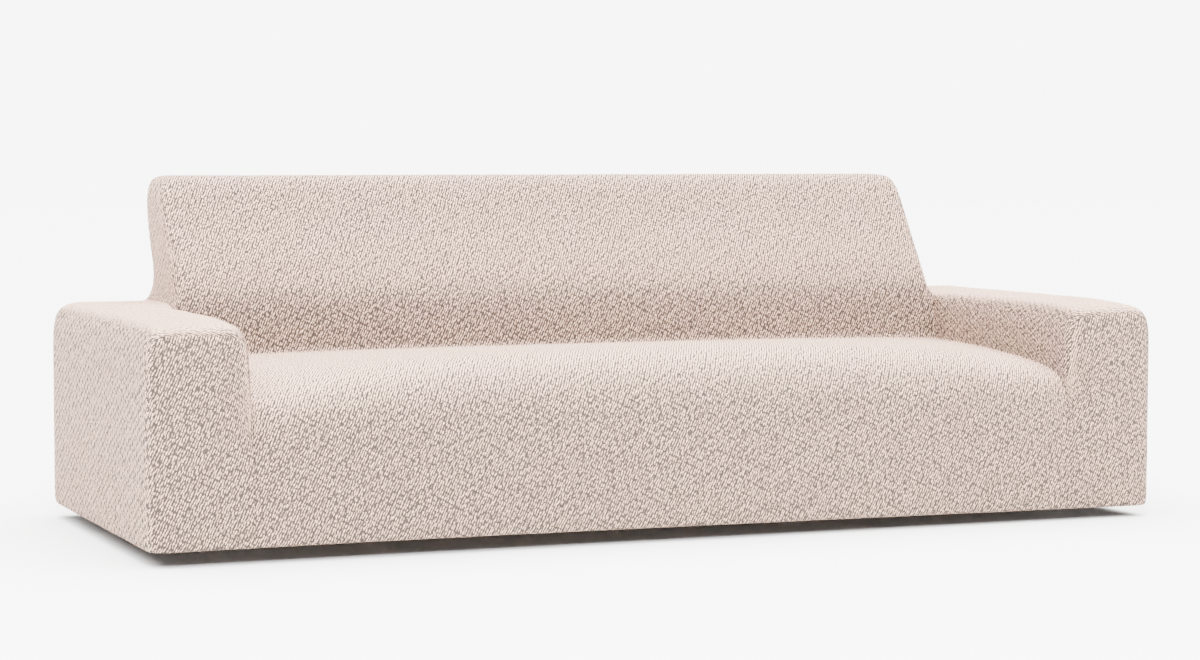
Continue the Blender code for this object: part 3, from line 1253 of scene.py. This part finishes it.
@dataclass(frozen=True)
class KnitFinish:
    """The cream knit: short slanted stitches in twill rows, with painted shade in the grooves
    between them.
    """

    name: str = "cream_knit_cloth"
    stitch: Pair = (0.0041, 0.0090)
    beside: Pair = (0.0052, -0.0027)
    warm_cream: Triple = (0.98, 0.638, 0.440)
    rosy_cream: Triple = (0.98, 0.614, 0.452)
    cream_ramp: Pair = (0.35, 0.65)
    # Painted shade: the dark colour that the hollows between stitches and the pits of the relief
    # take in place of their shadow.
    groove_shade: Triple = (0.040, 0.028, 0.023)
    half_length: float = 0.85
    half_width: float = 0.28
    fall: float = 0.62
    # Each stitch is tilted, higher on one side and end; besides tilting the bump, this paints one
    # side lighter and the other darker in the colour, as painted light and shade.
    tilt_and_shade_aside: float = 0.30
    tilt_and_shade_along: float = -0.15
    looseness: float = 1.0
    unevenness: float = 0.42
    drift: float = 0.0032
    bump: float = 0.0048
    tone_ramp: Pair = (0.51, 1.0)
    # Cloth pulled flat is evened out and raised towards plain cream: painted light on faces turned
    # up and on rounded edges.
    smooth_and_light_share: float = 0.22
    smooth_and_light_level: float = 2.2
    # The pits of the relief are painted darker by their depth, as painted shade, besides deepening
    # the bump.
    pit_level: float = 0.8
    pit_depth: float = 0.50
    opened_pit_depth: float = 0.9
    taut_pits: float = 0.5
    roughness: float = 0.9
    clouds: Cloudiness = Cloudiness(5.0, 2.0)
    astray: Cloudiness = Cloudiness(110.0, 3.0, 0.6, "2D")
    loose: Cloudiness = Cloudiness(1.6, 2.0, dimensions="2D")

    def make(self) -> bpy.types.Material:
        """Makes the finish.

        Returns:
            The finish as a material.
        """
        material, shader = new_material(self.name, self.roughness)
        nodes = Nodes(material.node_tree)
        cloth = nodes.add("ShaderNodeUVMap", {"uv_map": "cloth"}, {}).outputs["UV"]
        pucker, taut_and_lit, opened_and_shaded, ease = (
            nodes.surface_value(name) for name in ("pucker", "taut_and_lit", "opened_and_shaded", "ease")
        )
        # Painted light: where the cloth is pulled flat, mostly on faces turned up and on rounded
        # edges, the stitches even out into lighter cream.
        smooth_and_light = taut_and_lit * self.smooth_and_light_share
        rise = self.stitches(nodes, cloth) * (1.0 - smooth_and_light) + smooth_and_light * self.smooth_and_light_level
        # Painted shade in the pits of the relief: deeper where they are pulled open on side-facing
        # cloth, shallower where the cloth is pulled flat.
        depth = opened_and_shaded * ease * self.opened_pit_depth
        depth = depth + (1.0 - taut_and_lit * self.taut_pits) * self.pit_depth
        rise = (rise + (pucker - self.pit_level) * depth).at_least(0.0)
        hue = self.clouds.value(nodes, cloth).ramp(*self.cream_ramp)
        cream = nodes.mix(hue, (*self.warm_cream, 1.0), (*self.rosy_cream, 1.0))
        # Low places take the painted shade colour and high ones the cream.
        tone = nodes.mix(rise.ramp(*self.tone_ramp), (*self.groove_shade, 1.0), cream)
        nodes.feed(shader.inputs["Base Color"], tone)
        inputs = {"Strength": 1.0, "Distance": self.bump, "Height": rise}
        nodes.feed(shader.inputs["Normal"], nodes.add("ShaderNodeBump", {}, inputs).outputs[0])
        return material

    def stitches(self, nodes: Nodes, cloth: bpy.types.NodeSocket) -> Value:
        """How far the stitches stand out, from 0 in the hollows between them, which take the
        painted shade, to about 1 on a stitch's crown.

        Args:
            nodes: The material's tree.
            cloth: Where the point lies on the flat cloth.

        Returns:
            The height of the stitch whose middle is nearest.
        """
        across, up = self.astray.drift(nodes, cloth, self.drift)
        along, aside = along_and_aside(across, up, self.stitch, self.beside)
        at = nodes.add("ShaderNodeCombineXYZ", {}, {0: along, 1: aside}).outputs[0]
        settings = {"voronoi_dimensions": "2D", "feature": "F1"}
        inputs = {"Vector": at, "Scale": 1.0, "Randomness": self.unevenness}
        middle = nodes.add("ShaderNodeTexVoronoi", settings, inputs).outputs["Position"]
        off = nodes.add("ShaderNodeVectorMath", {"operation": "SUBTRACT"}, {0: at, 1: middle})
        lengthwise, sideways, _ = nodes.split(off.outputs[0])
        lengthwise = lengthwise * (1 / self.half_length)
        sideways = sideways * (1 / self.half_width)
        reach = (lengthwise * lengthwise + sideways * sideways).root()
        # Tilt each stitch: in the colour this is painted light on one side and painted shade on the
        # other.
        tilt_and_shade = sideways * self.tilt_and_shade_aside + lengthwise * self.tilt_and_shade_along
        loose = (self.loose.value(nodes, at) - 0.5) * self.looseness
        return (1.0 - reach * self.fall - tilt_and_shade + loose).at_least(0.0)


@dataclass(frozen=True)
class SoftLight:
    """One square soft light: where it hangs, what it faces, how wide and how strong it is."""

    name: str
    place: Triple
    target: Triple
    size: float
    power: float

    def hang(self) -> None:
        """Hangs the light in the scene."""
        data = bpy.data.lights.new(self.name, "AREA")
        data.size = self.size
        data.energy = self.power
        light = put_in_scene(self.name, data)
        light.location = self.place
        facing = Vector(self.target) - Vector(self.place)
        light.rotation_euler = facing.to_track_quat("-Z", "Y").to_euler()


@dataclass
class Studio:
    """The pale floor, the soft lights and the camera."""

    floor_z: float = -0.027
    floor_size: float = 60.0
    floor_roughness: float = 0.95
    floor_tone: Triple = (0.84, 0.84, 0.84)
    camera_place: Triple = (-2.7565, -6.6623, 0.8949)
    camera_turn: Triple = (86.281, -0.1376, -22.4518)
    lens: float = 88.997
    view_end: float = 200.0
    light_tone: Triple = (1.0, 0.99, 0.985)
    round_about: float = 0.2
    overhead: float = 17.5
    overhead_ramp: Pair = (0.35, 0.95)
    horizon: float = 8.0
    horizon_ramp: Pair = (0.14, 0.07)
    lights: tuple[SoftLight, ...] = (
        SoftLight("key_light", (-2.0, -5.5, 3.6), (0.0, 0.0, 0.3), 1.2, 540.0),
        SoftLight("right_light", (3.2, -3.6, 2.6), (0.8, -0.3, 0.3), 2.4, 50.0),
    )

    def build(self) -> None:
        """Sets up everything that isn't the cover."""
        self.lay_floor()
        self.light_room()
        for light in self.lights:
            light.hang()
        self.stand_camera()

    def lay_floor(self) -> None:
        """A wide plain floor under the cover."""
        half, z = self.floor_size / 2, self.floor_z
        mesh = bpy.data.meshes.new("floor")
        corners = [(-half, -half, z), (half, -half, z), (half, half, z), (-half, half, z)]
        mesh.from_pydata(corners, [], [(0, 1, 2, 3)])
        material, shader = new_material("floor_paint", self.floor_roughness)
        shader.inputs["Base Color"].default_value = (*self.floor_tone, 1.0)
        mesh.materials.append(material)
        put_in_scene("floor", mesh)

    def light_room(self) -> None:
        """A broad sky of soft light overhead and a bright horizon."""
        world = bpy.data.worlds.new("room")
        world.use_nodes = True
        nodes = Nodes(world.node_tree)
        way = nodes.add("ShaderNodeTexCoord", {}, {}).outputs["Generated"]
        height = nodes.split(way)[2]
        overhead = height.ramp(*self.overhead_ramp) * (self.overhead - self.round_about)
        horizon = height.ramp(*self.horizon_ramp) * (self.horizon - self.round_about)
        background = world.node_tree.nodes["Background"]
        nodes.feed(background.inputs["Strength"], overhead + horizon + self.round_about)
        background.inputs["Color"].default_value = (*self.light_tone, 1.0)
        bpy.context.scene.world = world

    def stand_camera(self) -> None:
        """The camera, at standing height and turned slightly down onto the sofa."""
        data = bpy.data.cameras.new("camera")
        data.lens = self.lens
        data.clip_end = self.view_end
        camera = put_in_scene("camera", data)
        camera.location = self.camera_place
        camera.rotation_euler = Euler([math.radians(turn) for turn in self.camera_turn])
        bpy.context.scene.camera = camera


# The sides listed for each panel are pulled flat and painted lighter, as painted light; opened pits
# are painted darker, as painted shade.
BACK_TAUT_AND_LIT = ((Side.LEFT, 0.3), (Side.RIGHT, 0.3), (Side.TOP, 0.5))
FRONT_TOP = (Side.TOP, 0.8)
PANELS = (
    Panel(Part.SEAT_APRON, (1.85, 0.94), 1.715, ((Side.TOP, 0.7),), facing_from=0.1),
    Panel(Part.INSIDE_BACK, (2.40, 0.57), 1.142, BACK_TAUT_AND_LIT, facing_from=0.1, opened_and_shaded=0.6),
    Panel(Part.OUTSIDE_BACK, (2.25, 0.73), 1.50),
    Panel(Part.ARM_LEFT, (0.90, 0.78), 0.637, ((Side.LEFT, 0.15), (Side.TOP, 1.0)), opened_and_shaded=1.0),
    Panel(Part.ARM_RIGHT, (0.90, 0.80), 0.642, ((Side.RIGHT, 0.15), (Side.TOP, 1.0)), opened_and_shaded=1.0),
    Panel(Part.ARM_FRONT_LEFT, (0.23, 0.435), 0.086, ((Side.RIGHT, 1.0), FRONT_TOP), facing_from=0.3),
    Panel(Part.ARM_FRONT_RIGHT, (0.23, 0.44), 0.087, ((Side.LEFT, 1.0), FRONT_TOP), facing_from=0.3),
)


def main() -> None:
    """Builds the cover panel by panel, then the studio round it."""
    logging.basicConfig(level=logging.INFO, format="%(message)s")
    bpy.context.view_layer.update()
    cage = Cage()
    lattice = FineLattice(cage)
    form = Form(cage, lattice)
    LOG.info("form: %d places", len(form.places))
    pattern = Pattern(cage, lattice)
    knit = KnitFinish().make()
    pucker = Pucker()
    relief = pucker.make_tree()
    for panel in PANELS:
        cut = pattern.cuts[panel.part]
        piece = panel.build(form, cut)
        pucker.raise_on(piece, relief, knit)
        panel.join_frame(piece)
        faces, (wide, long) = len(piece.data.polygons), cut.size()
        LOG.info("%s: %d polygons, cloth %.3f by %.3f m", piece.name, faces, wide, long)
    Studio().build()


if __name__ == "__main__":
    main()
